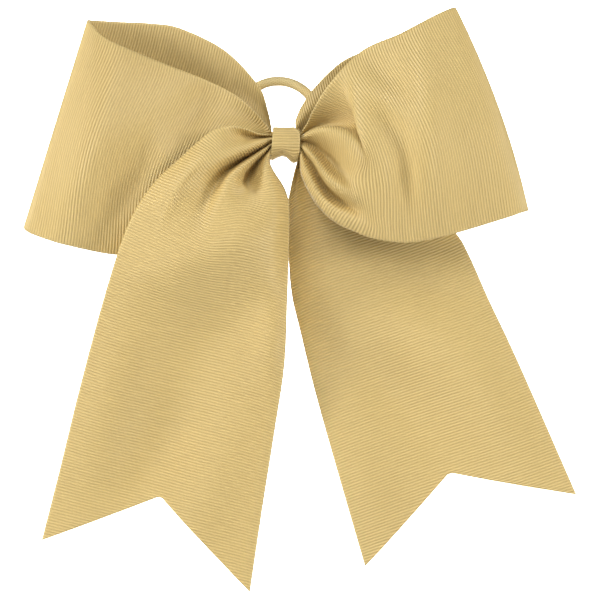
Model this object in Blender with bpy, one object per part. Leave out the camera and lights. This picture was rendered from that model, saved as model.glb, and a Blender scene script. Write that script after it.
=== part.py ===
"""Cheer hair bow: one 3 inch grosgrain ribbon folded into two loops and two tails, gathered and tied at the
middle, covered by a narrow ribbon wrap that also holds a round hair elastic.

The bow hangs upright and faces -Y, and +X is to the right as seen from its front. The origin is the middle of
the hole in the hair elastic, where the ponytail passes.
"""

import math

import bmesh
import bpy
import numpy as np
from mathutils import Matrix, Vector

MM = 0.001
GAP = 0.3 * MM  # between pieces that touch on the real bow

# The main ribbon
SHEET = 0.8 * MM  # thickness of the solids that stand for the ribbon
FAN = 10 * MM  # from the knot, where the pinched fans end and the loops and tails begin
SLANT_FADES = 45 * MM  # from the knot, where rows across the ribbon have turned square to its edges
NOTCH = 23 * MM  # depth of the swallowtail cut
TAIL_BEND = 70 * MM  # from the knot, the row of ribbon where a tail swings
BEND_GAP = 0.5 * MM  # from that row to the solid at either side of it
PLEATS_FADE = 24 * MM
COLUMNS = 12  # faces across a sheet

# The gather, the thread round it, and the wrap that covers both
PASS_PITCH = 3.95 * MM  # the ribbon passes through the knot three times, front to back
PASS_HALF_DEPTH = 1.8 * MM
PASS_HALF_HEIGHTS = (3 * MM, 4.1 * MM, 3 * MM)
THREAD_RADIUS = 0.25 * MM
THREAD_TURNS = 6
THREAD_PITCH = 0.85 * MM
THREAD_OVAL = (6.7 * MM, 4.75 * MM)  # half sizes in Y and Z
WRAP_WIDTH = 9.5 * MM  # 3/8 inch ribbon
WRAP_SHEET = 0.7 * MM
WRAP_FRONT = -7.2 * MM  # inner face, from the knot's middle
WRAP_BACK = 11.6 * MM
WRAP_HALF_HEIGHT = 5.25 * MM
WRAP_CORNER = 4.2 * MM
WRAP_BACK_CORNER = 2.6 * MM
HALF_LAP = 2.3 * MM  # the wrap's two ends lap over each other at the back
GLUE_SHEET = 0.4 * MM
GLUE_MARGIN = 1.4 * MM  # from the glue's edge to the ribbon's edge

# The hair elastic
STRAND_Y = 9.3 * MM  # the strand under the wrap, behind the knot's middle
RING_RADIUS = 14.4 * MM  # of the cord's centre line
RING_CENTRE = Vector((-2.8 * MM, STRAND_Y, 7.8 * MM))
RING_CORNER = 4 * MM  # where the strand turns up into the ring
CORD_RADIUS = 1.7 * MM
CORE_RADIUS = 0.7 * MM
BORE_RADIUS = CORE_RADIUS + GAP
CRIMPED_RADIUS = 1.4 * MM  # of the cord inside the ferrule
FERRULE_RADIUS = 2.0 * MM
FERRULE_LENGTH = 7 * MM

HOLE_CENTRE_Z = (RING_CENTRE.z + RING_RADIUS) / 2  # half way up the elastic's hole
KNOT = -Vector((RING_CENTRE.x, STRAND_Y, HOLE_CENTRE_Z))  # the knot's middle
LEFT_LOOP_HINGE = Vector((-12 * MM, PASS_PITCH, 0))
RIGHT_LOOP_HINGE = Vector((8 * MM, -8.2 * MM, 0))
GOLD = (0.74, 0.58, 0.28, 1)


class Stretch:
    """A stretch of the ribbon from the knot outwards, given by its two edges, in millimetres from the knot.

    The gather runs across the ribbon at a slant, so one edge has more ribbon past the knot than the other.
    swell is how far the middle stands forward of the edges, most at swell_at and none past swell_end.
    """

    def __init__(self, edge_a, edge_b, swell, swell_at, swell_end, pleats, pleat_depth):
        self.edges = [dense_curve(edge_a), dense_curve(edge_b)]
        length_a, length_b = (lengths[-1] for _, lengths in self.edges)
        self.length = (length_a + length_b) / 2
        self.lead = (length_a - length_b) / 2
        self.swell, self.swell_at, self.swell_end = swell, swell_at, swell_end
        self.pleats, self.pleat_depth = pleats, pleat_depth

    def lead_at(self, share):
        """The extra length past the knot at that share of the way from edge a to edge b."""
        return self.lead * (1 - 2 * share)

    def row(self, distance):
        """The row square across the ribbon at that distance from the knot, as a function of share."""
        return lambda share: distance + self.lead_at(share)

    def point(self, reach, share):
        """The point that far from the knot along the ribbon, at that share of the way from edge a to b."""
        turned = smooth_step((reach - FAN) / (SLANT_FADES - FAN))
        a, b = (
            at_length(edge, reach + (lead - self.lead_at(share)) * turned)
            for edge, lead in zip(self.edges, (self.lead, -self.lead))
        )
        point = a.lerp(b, share)
        rise = smooth_step(reach / self.swell_at)
        fall = smooth_step((reach - self.swell_at) / (self.swell_end - self.swell_at))
        full = 4 * share * (1 - share) * rise * (1 - fall)
        wave = math.sin(2 * math.pi * self.pleats * share) * math.sin(math.pi * share)
        pleated = self.pleat_depth * wave * math.exp(-((reach / PLEATS_FADE) ** 2))
        point.y -= self.swell * full + pleated
        return point


def smooth_step(x):
    x = min(1.0, max(0.0, x))
    return x * x * (3 - 2 * x)


def dense_curve(points, steps=16):
    """A smooth curve through the points, given in millimetres, as (points, length up to each)."""
    ends = [np.array(p, float) * MM for p in points]
    ends = [2 * ends[0] - ends[1], *ends, 2 * ends[-1] - ends[-2]]
    curve = []
    for before, a, b, after in zip(ends, ends[1:], ends[2:], ends[3:]):
        for i in range(steps):
            t = i / steps
            tangent_a, tangent_b = (b - before) / 2, (after - a) / 2
            curve.append(
                (2 * t**3 - 3 * t**2 + 1) * a
                + (t**3 - 2 * t**2 + t) * tangent_a
                + (3 * t**2 - 2 * t**3) * b
                + (t**3 - t**2) * tangent_b
            )
    curve.append(ends[-2])
    curve = np.array(curve)
    steps = np.linalg.norm(np.diff(curve, axis=0), axis=1)
    return curve, np.concatenate([[0], np.cumsum(steps)])


def at_length(curve, length):
    """The point at that length along a curve; past either end it runs straight on."""
    points, lengths = curve
    if length > lengths[-1]:
        onward = (points[-1] - points[-2]) / (lengths[-1] - lengths[-2])
        return Vector(points[-1] + onward * (length - lengths[-1]))
    return Vector([np.interp(length, lengths, points[:, k]) for k in range(3)])


LEFT_TAIL = Stretch(
    edge_a=[
        (-5, -4.4, 3.4), (-12.6, -5.5, 4.8), (-20, -6.5, 5.6), (-27, -8, 2.8), (-37, -10.5, -6),
        (-47, -12.5, -16), (-55, -12.5, -30), (-63.4, -10, -55), (-72.1, -6, -86.5), (-85.4, -3, -139),
    ],
    edge_b=[
        (-5, -4.4, -3.6), (-5.6, -5.4, -7.7), (-3.2, -7, -13), (0.4, -8, -22), (1, -8, -34),
        (0.4, -8, -55), (-0.6, -7, -78), (-3.9, -5, -100.5), (-12.6, -3, -157.2),
    ],
    swell=9 * MM, swell_at=36 * MM, swell_end=60 * MM, pleats=2.5, pleat_depth=1.8 * MM,
)  # fmt: skip
RIGHT_LOOP_FRONT = Stretch(
    edge_a=[
        (5, -4.4, 3.6), (8.4, -6, 11.6), (15.4, -7, 21.4), (26.6, -7.5, 31.9), (39.9, -7, 37.8),
        (51.5, -5, 44), (57.5, -2.6, 46.9), (59.2, -0.55, 47.3),
    ],
    edge_b=[
        (5, -4.4, -3.6), (6.7, -7, -11.2), (10.2, -8.5, -18.2), (15.4, -9.5, -25.2), (22.4, -10, -29.8),
        (31.2, -10, -33.3), (43.4, -10, -35), (57.4, -9, -32.2), (76.5, -5, -26.5), (82.7, -2.8, -24.4),
        (84.7, -0.55, -23.8),
    ],
    swell=11 * MM, swell_at=44 * MM, swell_end=84 * MM, pleats=-2, pleat_depth=1.8 * MM,
)  # fmt: skip
RIGHT_LOOP_BACK = Stretch(
    edge_a=[
        (5, 0, 4.4), (5.2, 0.5, 11.5), (10.4, 1.5, 20), (18.9, 2.5, 28.2), (27.7, 3.2, 32.6),
        (40, 3.4, 37.6), (52, 2.8, 44), (59.2, 0.55, 47.3),
    ],
    edge_b=[
        (5, 0, -4.4), (8, 1, -14), (16, 1.8, -25), (30, 2.6, -32), (45, 3, -33), (60, 3, -30.4),
        (75, 2.4, -26.4), (84.7, 0.55, -23.8),
    ],
    swell=-1.2 * MM, swell_at=45 * MM, swell_end=80 * MM, pleats=1.5, pleat_depth=0.7 * MM,
)  # fmt: skip
LEFT_LOOP_FRONT = Stretch(
    edge_a=[
        (-5, 0, 4.2), (-10.9, -0.8, 10.9), (-17.9, -2, 16.8), (-28.4, -3.5, 22.1), (-44.1, -5.5, 28),
        (-61.6, -6, 35.4), (-67.6, -3.4, 40.9), (-69.3, -0.55, 43.1),
    ],
    edge_b=[
        (-5, 0, -4.4), (-11, -0.4, -13), (-22, -1.2, -26), (-38, -2.5, -36), (-56, -5, -39.4),
        (-75.6, -6, -36.1), (-88, -3.4, -32.2), (-91.7, -0.55, -29.8),
    ],
    swell=4 * MM, swell_at=60 * MM, swell_end=86 * MM, pleats=1.5, pleat_depth=0.6 * MM,
)  # fmt: skip
LEFT_LOOP_BACK = Stretch(
    edge_a=[
        (-5, 4, 4.4), (-6.6, 3.4, 12), (-9.8, 3, 20.3), (-21.4, 4, 32.6), (-37.1, 6, 40.6),
        (-47.6, 6.5, 42.4), (-60, 5.2, 43), (-67.4, 2.6, 43.3), (-69.3, 0.55, 43.1),
    ],
    edge_b=[
        (-5, 4, -4.4), (-12, 3.4, -13.5), (-22, 4.2, -24), (-38, 6.5, -34), (-58, 8, -38), (-78, 6, -34.6),
        (-88.5, 2.8, -31), (-91.7, 0.55, -29.8),
    ],
    swell=-4 * MM, swell_at=56 * MM, swell_end=86 * MM, pleats=-1.5, pleat_depth=0.6 * MM,
)  # fmt: skip
RIGHT_TAIL = Stretch(
    edge_a=[
        (5, 4, 3.4), (14, 4.8, 2.6), (26, 6, -2), (38, 7, -10), (50, 7.5, -21), (59.9, 7.5, -31.5),
        (64.4, 7, -39.2), (71.4, 5.6, -55), (81.9, 3, -77.7), (101.9, -1, -123.3),
    ],
    edge_b=[
        (5, 4, -3.6), (5.6, 4.2, -7.4), (2.9, 4.7, -13), (0.8, 5.4, -21), (0.7, 6, -34), (1.8, 6, -51.5),
        (4.9, 5, -65.5), (11.9, 3, -93.5), (27.7, 0, -148.5),
    ],
    swell=-3 * MM, swell_at=38 * MM, swell_end=60 * MM, pleats=-1.5, pleat_depth=0.7 * MM,
)  # fmt: skip


def clear_scene():
    for obj in list(bpy.data.objects):
        bpy.data.objects.remove(obj)


def material(name, colour, roughness, metallic=0.0):
    made = bpy.data.materials.new(name)
    made.use_nodes = True
    shader = made.node_tree.nodes["Principled BSDF"]
    shader.inputs["Base Color"].default_value = colour
    shader.inputs["Roughness"].default_value = roughness
    shader.inputs["Metallic"].default_value = metallic
    return made


def empty(name, location, parent=None):
    made = bpy.data.objects.new(name, None)
    bpy.context.scene.collection.objects.link(made)
    made.parent = parent
    made.location = location
    return made


def place(name, points, faces, parent, pivot, finish):
    """One named object from points measured from the knot, with its origin at its parent's place."""
    mesh = bpy.data.meshes.new(name)
    mesh.from_pydata([tuple(p) for p in points], [], faces)
    work = bmesh.new()
    work.from_mesh(mesh)
    bmesh.ops.recalc_face_normals(work, faces=work.faces)
    work.to_mesh(mesh)
    work.free()
    mesh.transform(Matrix.Translation(-pivot))
    mesh.shade_smooth()
    mesh.set_sharp_from_angle(angle=math.radians(40))
    mesh.materials.append(finish)
    made = bpy.data.objects.new(name, mesh)
    bpy.context.scene.collection.objects.link(made)
    made.parent = parent
    return made


def grid_faces(rows, columns):
    step = columns + 1
    return [
        (i * step + j, i * step + j + 1, (i + 1) * step + j + 1, (i + 1) * step + j)
        for i in range(rows)
        for j in range(columns)
    ]


def sheet(name, stretch, start, end, rows, parent, pivot, finish):
    """A closed thin solid along a stretch of the ribbon, from the row start to the row end."""
    points = []
    for i in range(rows + 1):
        for j in range(COLUMNS + 1):
            share = j / COLUMNS
            first, last = start(share), end(share)
            points.append(stretch.point(first + (last - first) * i / rows, share))
    made = place(name, points, grid_faces(rows, COLUMNS), parent, pivot, finish)
    thick = made.modifiers.new("thickness", "SOLIDIFY")
    thick.thickness = SHEET
    thick.offset = 0
    return made


def ring_faces(rings, sides, closed):
    """Faces between rings of points; an open run of rings gets a cap at each end."""
    faces = [
        (i * sides + j, i * sides + (j + 1) % sides, k * sides + (j + 1) % sides, k * sides + j)
        for i, k in zip(range(rings), [*range(1, rings), 0])
        if closed or k
        for j in range(sides)
    ]
    if not closed:
        faces += [tuple(range(sides))[::-1], tuple(range((rings - 1) * sides, rings * sides))]
    return faces


def gather(name, left, right, y, half_height, parent, finish, sides=16):
    """One pinched pass of the ribbon: a thick waist under the wrap, fanned out thin at both sides."""
    stations = []
    for stretch, side in ((left, -1), (right, 1)):
        outer = FAN - GAP
        fan = []
        for reach, depth in ((outer, 0.45 * MM), (0.72 * outer, 0.9 * MM)):
            a, b = (at_length(edge, reach) for edge in stretch.edges)
            fan.append((a.lerp(b, 0.5), (a - b) / 2, depth))
        edge = WRAP_WIDTH / 2 + GAP
        fan.append((Vector((side * edge, y, 0)), Vector((0, 0, half_height + 0.4 * MM)), PASS_HALF_DEPTH))
        stations.append(fan)
    waist = (Vector((0, y, 0)), Vector((0, 0, half_height)), PASS_HALF_DEPTH)
    run = [*stations[0], waist, *reversed(stations[1])]
    points = []
    for centre, half, depth in run:
        for j in range(sides):
            angle = 2 * math.pi * j / sides
            points.append(centre + half * math.cos(angle) + Vector((0, depth * math.sin(angle), 0)))
    return place(name, points, ring_faces(len(run), sides, False), parent, Vector(), finish)


def binding_thread(parent, finish, sides=6, steps=20):
    """Turns of thread wound round the gather, side by side."""
    half_y, half_z = THREAD_OVAL
    count = THREAD_TURNS * steps
    points = []
    for i in range(count + 1):
        angle = 2 * math.pi * i / steps
        out = Vector((0, math.cos(angle) / half_y, math.sin(angle) / half_z)).normalized()
        x = THREAD_PITCH * (i / steps - THREAD_TURNS / 2)
        centre = Vector((x, half_y * math.cos(angle), half_z * math.sin(angle)))
        for j in range(sides):
            turn = 2 * math.pi * j / sides
            points.append(centre + THREAD_RADIUS * (out * math.cos(turn) + Vector((math.sin(turn), 0, 0))))
    return place("gather_thread", points, ring_faces(count + 1, sides, False), parent, Vector(), finish)


def strip(name, path, parent, finish, width, thickness):
    """A flat strip of that width in X, whose inner face follows a path in Y and Z."""
    points = []
    for i, (y, z) in enumerate(path):
        before, after = path[max(i - 1, 0)], path[min(i + 1, len(path) - 1)]
        out = Vector((before[1] - after[1], after[0] - before[0])).normalized() * thickness
        for x, outset in ((-0.5, 0), (0.5, 0), (0.5, 1), (-0.5, 1)):
            points.append(Vector((x * width, y + outset * out.x, z + outset * out.y)))
    return place(name, points, ring_faces(len(path), 4, False), parent, Vector(), finish)


def centre_wrap(parent, ribbon, glue, steps=6):
    """The narrow ribbon round the gather, which laps over its own start at the back, and the glue between."""
    lap = WRAP_SHEET + GLUE_SHEET + 2 * GAP
    # From the start at the back it goes down, forwards, up and back, and ends outside its start.
    corners = (
        (WRAP_BACK - WRAP_BACK_CORNER, -1, WRAP_BACK_CORNER, 0),
        (WRAP_FRONT + WRAP_CORNER, -1, WRAP_CORNER, 0),
        (WRAP_FRONT + WRAP_CORNER, 1, WRAP_CORNER, 0),
        (WRAP_BACK - WRAP_BACK_CORNER, 1, WRAP_BACK_CORNER, lap),
    )
    path = [(WRAP_BACK, HALF_LAP), (WRAP_BACK, 0)]
    for quarter, (y, up, radius, outset) in enumerate(corners):
        z = up * (WRAP_HALF_HEIGHT - radius)
        for i in range(steps + 1):
            angle = -math.pi / 2 * (quarter + i / steps)
            path.append((y + (radius + outset) * math.cos(angle), z + (radius + outset) * math.sin(angle)))
    path += [(WRAP_BACK + lap, 0), (WRAP_BACK + lap, -HALF_LAP)]
    strip("center_wrap", path, parent, ribbon, WRAP_WIDTH, WRAP_SHEET)
    glue_y = WRAP_BACK + WRAP_SHEET + GAP
    glue_path = [(glue_y, HALF_LAP), (glue_y, -HALF_LAP)]
    strip("wrap_glue", glue_path, parent, glue, WRAP_WIDTH - 2 * GLUE_MARGIN, GLUE_SHEET)


def ring_path(steps=30, corner_steps=5):
    """The elastic's centre line: a strand under the wrap, a corner at each side and a round arc."""
    centre_x, centre_z = RING_CENTRE.x, RING_CENTRE.z
    reach = math.sqrt((RING_RADIUS - RING_CORNER) ** 2 - (centre_z - RING_CORNER) ** 2)
    lean = math.atan2(centre_z - RING_CORNER, reach)  # of the line from the ring's middle to a corner's
    path = [(0.2 * MM + x, 0.0) for x in (0, 1.6 * MM, 3.2 * MM, 4.2 * MM)]
    for i in range(corner_steps):
        angle = -math.pi / 2 + (math.pi / 2 - lean) * i / corner_steps
        path.append(
            (centre_x + reach + RING_CORNER * math.cos(angle), RING_CORNER + RING_CORNER * math.sin(angle))
        )
    for i in range(steps + 1):
        angle = -lean + (math.pi + 2 * lean) * i / steps
        path.append((centre_x + RING_RADIUS * math.cos(angle), centre_z + RING_RADIUS * math.sin(angle)))
    for i in range(1, corner_steps + 1):
        angle = math.pi + lean + (math.pi / 2 - lean) * i / corner_steps
        path.append(
            (centre_x - reach + RING_CORNER * math.cos(angle), RING_CORNER + RING_CORNER * math.sin(angle))
        )
    path += [(-0.2 * MM - x, 0.0) for x in (4.2 * MM, 3.2 * MM, 1.6 * MM, 0)]
    return [Vector((x, STRAND_Y, z)) for x, z in path]


def cord_rings(path, radii, sides):
    """Rings of points round a path that lies in a plane square to Y."""
    rings = []
    for i, (centre, radius) in enumerate(zip(path, radii)):
        along = (path[min(i + 1, len(path) - 1)] - path[max(i - 1, 0)]).normalized()
        out = along.cross(Vector((0, 1, 0)))
        for j in range(sides):
            angle = 2 * math.pi * j / sides
            rings.append(centre + radius * (out * math.cos(angle) + Vector((0, math.sin(angle), 0))))
    return rings


def hair_elastic(parent, sleeve_finish, core_finish, ferrule_finish):
    """A rubber core in a woven sleeve, its two ends crimped together in a metal ferrule under the wrap."""
    path = ring_path()
    crimped = FERRULE_LENGTH / 2 + GAP
    outer = [CRIMPED_RADIUS if p.z < GAP and abs(p.x) < crimped else CORD_RADIUS for p in path]
    sides = 10
    rings = len(path)
    points = cord_rings(path, outer, sides) + cord_rings(path, [BORE_RADIUS] * rings, sides)
    walls = [f for f in ring_faces(rings, sides, False) if len(f) == 4]
    faces = walls + [tuple(i + rings * sides for i in reversed(f)) for f in walls]
    for first in (0, (rings - 1) * sides):
        inner = first + rings * sides
        faces += [
            (first + j, first + (j + 1) % sides, inner + (j + 1) % sides, inner + j) for j in range(sides)
        ]
    strand = Vector((0, STRAND_Y, 0))
    place("elastic_sleeve", points, faces, parent, strand, sleeve_finish)
    core = cord_rings(path, [CORE_RADIUS] * rings, 8)
    place("elastic_core", core, ring_faces(rings, 8, False), parent, strand, core_finish)
    half = FERRULE_LENGTH / 2
    bore = CRIMPED_RADIUS + GAP
    profile = [(-half, bore), (-half, FERRULE_RADIUS), (half, FERRULE_RADIUS), (half, bore)]
    sides = 16
    points = [
        Vector((x, STRAND_Y + r * math.cos(2 * math.pi * j / sides), r * math.sin(2 * math.pi * j / sides)))
        for x, r in profile
        for j in range(sides)
    ]
    place("elastic_ferrule", points, ring_faces(len(profile), sides, True), parent, strand, ferrule_finish)


def tail(side, stretch, knot, finish):
    """A tail in two solids: its root, held by the knot, and its free end, which swings on a row of it."""

    def swallowtail(share):
        return stretch.row(stretch.length)(share) - NOTCH * (1 - abs(2 * share - 1))

    bend = stretch.row(TAIL_BEND)
    pivot = stretch.point(bend(0), 0).lerp(stretch.point(bend(1), 1), 0.5)
    hinge = empty(side + "_tail_hinge", pivot, knot)
    root_end = stretch.row(TAIL_BEND - BEND_GAP)
    sheet(side + "_tail_root", stretch, lambda share: FAN, root_end, 10, knot, Vector(), finish)
    sheet(side + "_tail", stretch, stretch.row(TAIL_BEND + BEND_GAP), swallowtail, 10, hinge, pivot, finish)


def loop(side, front, back, pivot, knot, finish):
    """A loop in two solids, its front and back layers, which meet at the outer fold."""
    hinge = empty(side + "_loop_hinge", pivot, knot)
    for layer, stretch in (("front", front), ("back", back)):
        fold = stretch.row(stretch.length)
        sheet(f"{side}_loop_{layer}", stretch, lambda share: FAN, fold, 13, hinge, pivot, finish)


def build():
    clear_scene()
    ribbon = material("gold_grosgrain", GOLD, 0.62)
    thread = material("binding_thread", (0.78, 0.66, 0.4, 1), 0.6)
    glue = material("hot_glue", (0.86, 0.82, 0.7, 1), 0.35)
    sleeve = material("woven_sleeve", GOLD, 0.75)
    rubber = material("rubber_core", (0.75, 0.7, 0.6, 1), 0.8)
    metal = material("crimped_ferrule", (0.7, 0.7, 0.72, 1), 0.35, 1.0)

    ponytail = empty("ponytail_hole", (0, 0, 0))
    knot = empty("knot_middle", KNOT, ponytail)
    strand = empty("elastic_strand", KNOT + Vector((0, STRAND_Y, 0)), ponytail)

    hair_elastic(strand, sleeve, rubber, metal)
    passes = (
        ("front", LEFT_TAIL, RIGHT_LOOP_FRONT),
        ("middle", LEFT_LOOP_FRONT, RIGHT_LOOP_BACK),
        ("back", LEFT_LOOP_BACK, RIGHT_TAIL),
    )
    for i, (name, left, right) in enumerate(passes):
        y = (i - 1) * PASS_PITCH
        gather(f"ribbon_gather_{name}", left, right, y, PASS_HALF_HEIGHTS[i], knot, ribbon)
    binding_thread(knot, thread)
    centre_wrap(knot, ribbon, glue)
    loop("left", LEFT_LOOP_FRONT, LEFT_LOOP_BACK, LEFT_LOOP_HINGE, knot, ribbon)
    loop("right", RIGHT_LOOP_FRONT, RIGHT_LOOP_BACK, RIGHT_LOOP_HINGE, knot, ribbon)
    tail("left", LEFT_TAIL, knot, ribbon)
    tail("right", RIGHT_TAIL, knot, ribbon)


build()
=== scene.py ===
"""Cheer hair bow: how it looks. One gold grosgrain ribbon makes two loops and two tails, held by a knot.

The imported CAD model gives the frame. Each stretch of ribbon starts as a coarse grid of points, shaped by
its edges and by the ridges and valleys of the gather, and is then woven into a thick ribbed mesh. The bow's
lengths are in millimetres, and its places are measured from the knot's middle: X to the right, Y backwards
and Z up.
"""

import math
from dataclasses import dataclass

import bpy
import numpy as np
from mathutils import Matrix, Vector


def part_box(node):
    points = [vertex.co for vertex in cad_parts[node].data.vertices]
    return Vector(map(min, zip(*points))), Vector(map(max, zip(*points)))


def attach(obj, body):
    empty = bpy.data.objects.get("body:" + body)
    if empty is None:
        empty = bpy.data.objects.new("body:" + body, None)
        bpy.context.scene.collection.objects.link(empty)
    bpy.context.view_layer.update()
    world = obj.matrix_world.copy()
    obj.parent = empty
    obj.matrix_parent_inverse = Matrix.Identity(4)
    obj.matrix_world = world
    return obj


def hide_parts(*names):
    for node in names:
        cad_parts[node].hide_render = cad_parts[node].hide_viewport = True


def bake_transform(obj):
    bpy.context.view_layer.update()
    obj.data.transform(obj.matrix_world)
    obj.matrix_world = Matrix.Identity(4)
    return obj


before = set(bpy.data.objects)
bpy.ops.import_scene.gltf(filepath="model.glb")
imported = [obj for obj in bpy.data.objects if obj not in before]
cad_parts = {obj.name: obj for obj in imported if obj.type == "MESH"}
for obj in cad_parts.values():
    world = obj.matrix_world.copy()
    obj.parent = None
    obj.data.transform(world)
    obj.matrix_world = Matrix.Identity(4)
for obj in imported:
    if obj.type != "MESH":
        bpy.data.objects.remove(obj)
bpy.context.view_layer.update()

MM = 0.001
KNOT = np.mean([list(corner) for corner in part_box("gather_thread")], axis=0)  # its middle, in metres

# The ribbon
WIDTH = 76.2
THICKNESS = 0.34
RIB_PITCH = 1.0
RIB_HEIGHT = 0.16
SELVEDGE = 1.3  # width of the flatter woven edge
SELVEDGE_RIBS = 0.35  # height of the ribs there, as a share of the others'
EXIT_X = 5.0  # where the ribbon leaves the wrap
TUCK = 4.7  # how far it goes on inside the wrap
TUCKED_ROWS = ((TUCK, 0.8), (TUCK / 2, 0.85))  # how far inside each row lies, and how narrow it is squeezed

# The gather
PASS_Y = {"front": -3.95, "middle": 0.0, "back": 3.95}  # the ribbon's three passes through the knot
GATHER_HALF_HEIGHT = {"front": 3.1, "middle": 3.9, "back": 3.1}
GATHER_DEPTH = 1.4  # of the pleats where the ribbon leaves the wrap
PLEATS_RISE = (-2, 10)  # distances from the wrap over which the simpler pleats grow
PLEATS_FADE = (14, 44)  # and over which they die away
CREASES_END = 0.42  # the least share of the length at which a crease is gone
CREASE_FADE = 0.17  # the least share of the length over which it dies away
PLACES_BEYOND = 9  # along each crease's line, once it is gone

# The coarse grid
CELL = 2.4  # from row to row
COLUMNS = 32
SHARES = np.linspace(0, 1, COLUMNS)  # each column's share of the way across the ribbon
EVENING = 32  # rounds of evening out the lengths of neighbouring columns
FOLD_BULGES = 26  # how far in from a loop's outer fold its outward bow reaches
LAYER_GAP = 0.45  # from each layer of a loop to the surface between the two
GAP_OPENS = (4, 14)  # distances from the knot over which that gap opens
BETWEEN_LEVEL = 60  # distance from the knot at which that surface is level with the outer fold
CLEARANCE = 0.9  # from a tail to the loop that lies against it
CLEARANCE_OPENS = (4, 12)  # distances from the knot over which that clearance grows

# The mesh
ROWS_PER_RIB = 5
FINE_COLUMNS = 54
CROWDING = 1.12  # above 1, columns stand closer together towards the ribbon's edges
END_ROOM = 0.3  # the least distance from a row to a cut end, in row steps
NUDGE = 0.15  # in grid cells, to either side of a point whose direction is measured


def ramp(x, start, end):
    """A smooth rise from 0 at the start to 1 at the end."""
    share = np.clip((x - start) / (end - start), 0, 1)
    return share * share * (3 - 2 * share)


def arch(share):
    """0 at the ribbon's two edges and 1 in its middle."""
    return 4 * share * (1 - share)


def unit(vectors):
    return vectors / (np.linalg.norm(vectors, axis=-1, keepdims=True) + 1e-12)


def distance_from_knot(points):
    return np.hypot(points[..., 0], points[..., 2])


def lengths_along(points):
    """The length of a line of points up to each of them."""
    return np.concatenate([[0], np.cumsum(np.linalg.norm(np.diff(points, axis=0), axis=1))])


def hermite(t, a, b, slope_a, slope_b):
    """The smooth curve from a to b with those slopes, at shares t of the way."""
    return (
        (2 * t**3 - 3 * t**2 + 1) * a
        + (t**3 - 2 * t**2 + t) * slope_a
        + (3 * t**2 - 2 * t**3) * b
        + (t**3 - t**2) * slope_b
    )


def curve_through(points, steps=24):
    """A smooth curve through the points, as (points, length up to each)."""
    ends = np.array(points, float)
    ends = np.vstack([2 * ends[0] - ends[1], ends, 2 * ends[-1] - ends[-2]])
    t = np.linspace(0, 1, steps, endpoint=False)[:, None]
    spans = [
        hermite(t, a, b, (b - before) / 2, (after - a) / 2)
        for before, a, b, after in zip(ends, ends[1:], ends[2:], ends[3:])
    ]
    curve = np.vstack([*spans, ends[-2]])
    return curve, lengths_along(curve)


def at_length(curve, length):
    points, lengths = curve
    return np.stack([np.interp(length, lengths, points[:, k]) for k in range(3)], -1)


def smooth_run(places, values, wanted):
    """A smooth run through values that have the places along their second axis, at the wanted places."""
    places = np.array(places)
    slopes = np.gradient(values, places, axis=1)
    k = np.clip(np.searchsorted(places, wanted, side="right") - 1, 0, len(places) - 2)
    span = places[k + 1] - places[k]
    t = ((wanted - places[k]) / span)[None, :, None]
    span = span[None, :, None]
    return hermite(t, values[:, k], values[:, k + 1], span * slopes[:, k], span * slopes[:, k + 1])


def swelling(points, x, z, lean, length, width, height):
    """How far forward a soft oval swelling round x and z brings each point. Below 0 it is a hollow."""
    turn = math.radians(lean)
    away_x, away_z = points[..., 0] - x, points[..., 2] - z
    along = away_x * math.cos(turn) + away_z * math.sin(turn)
    aside = away_z * math.cos(turn) - away_x * math.sin(turn)
    return height * np.exp(-((along / length) ** 2) - (aside / width) ** 2)


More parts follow.
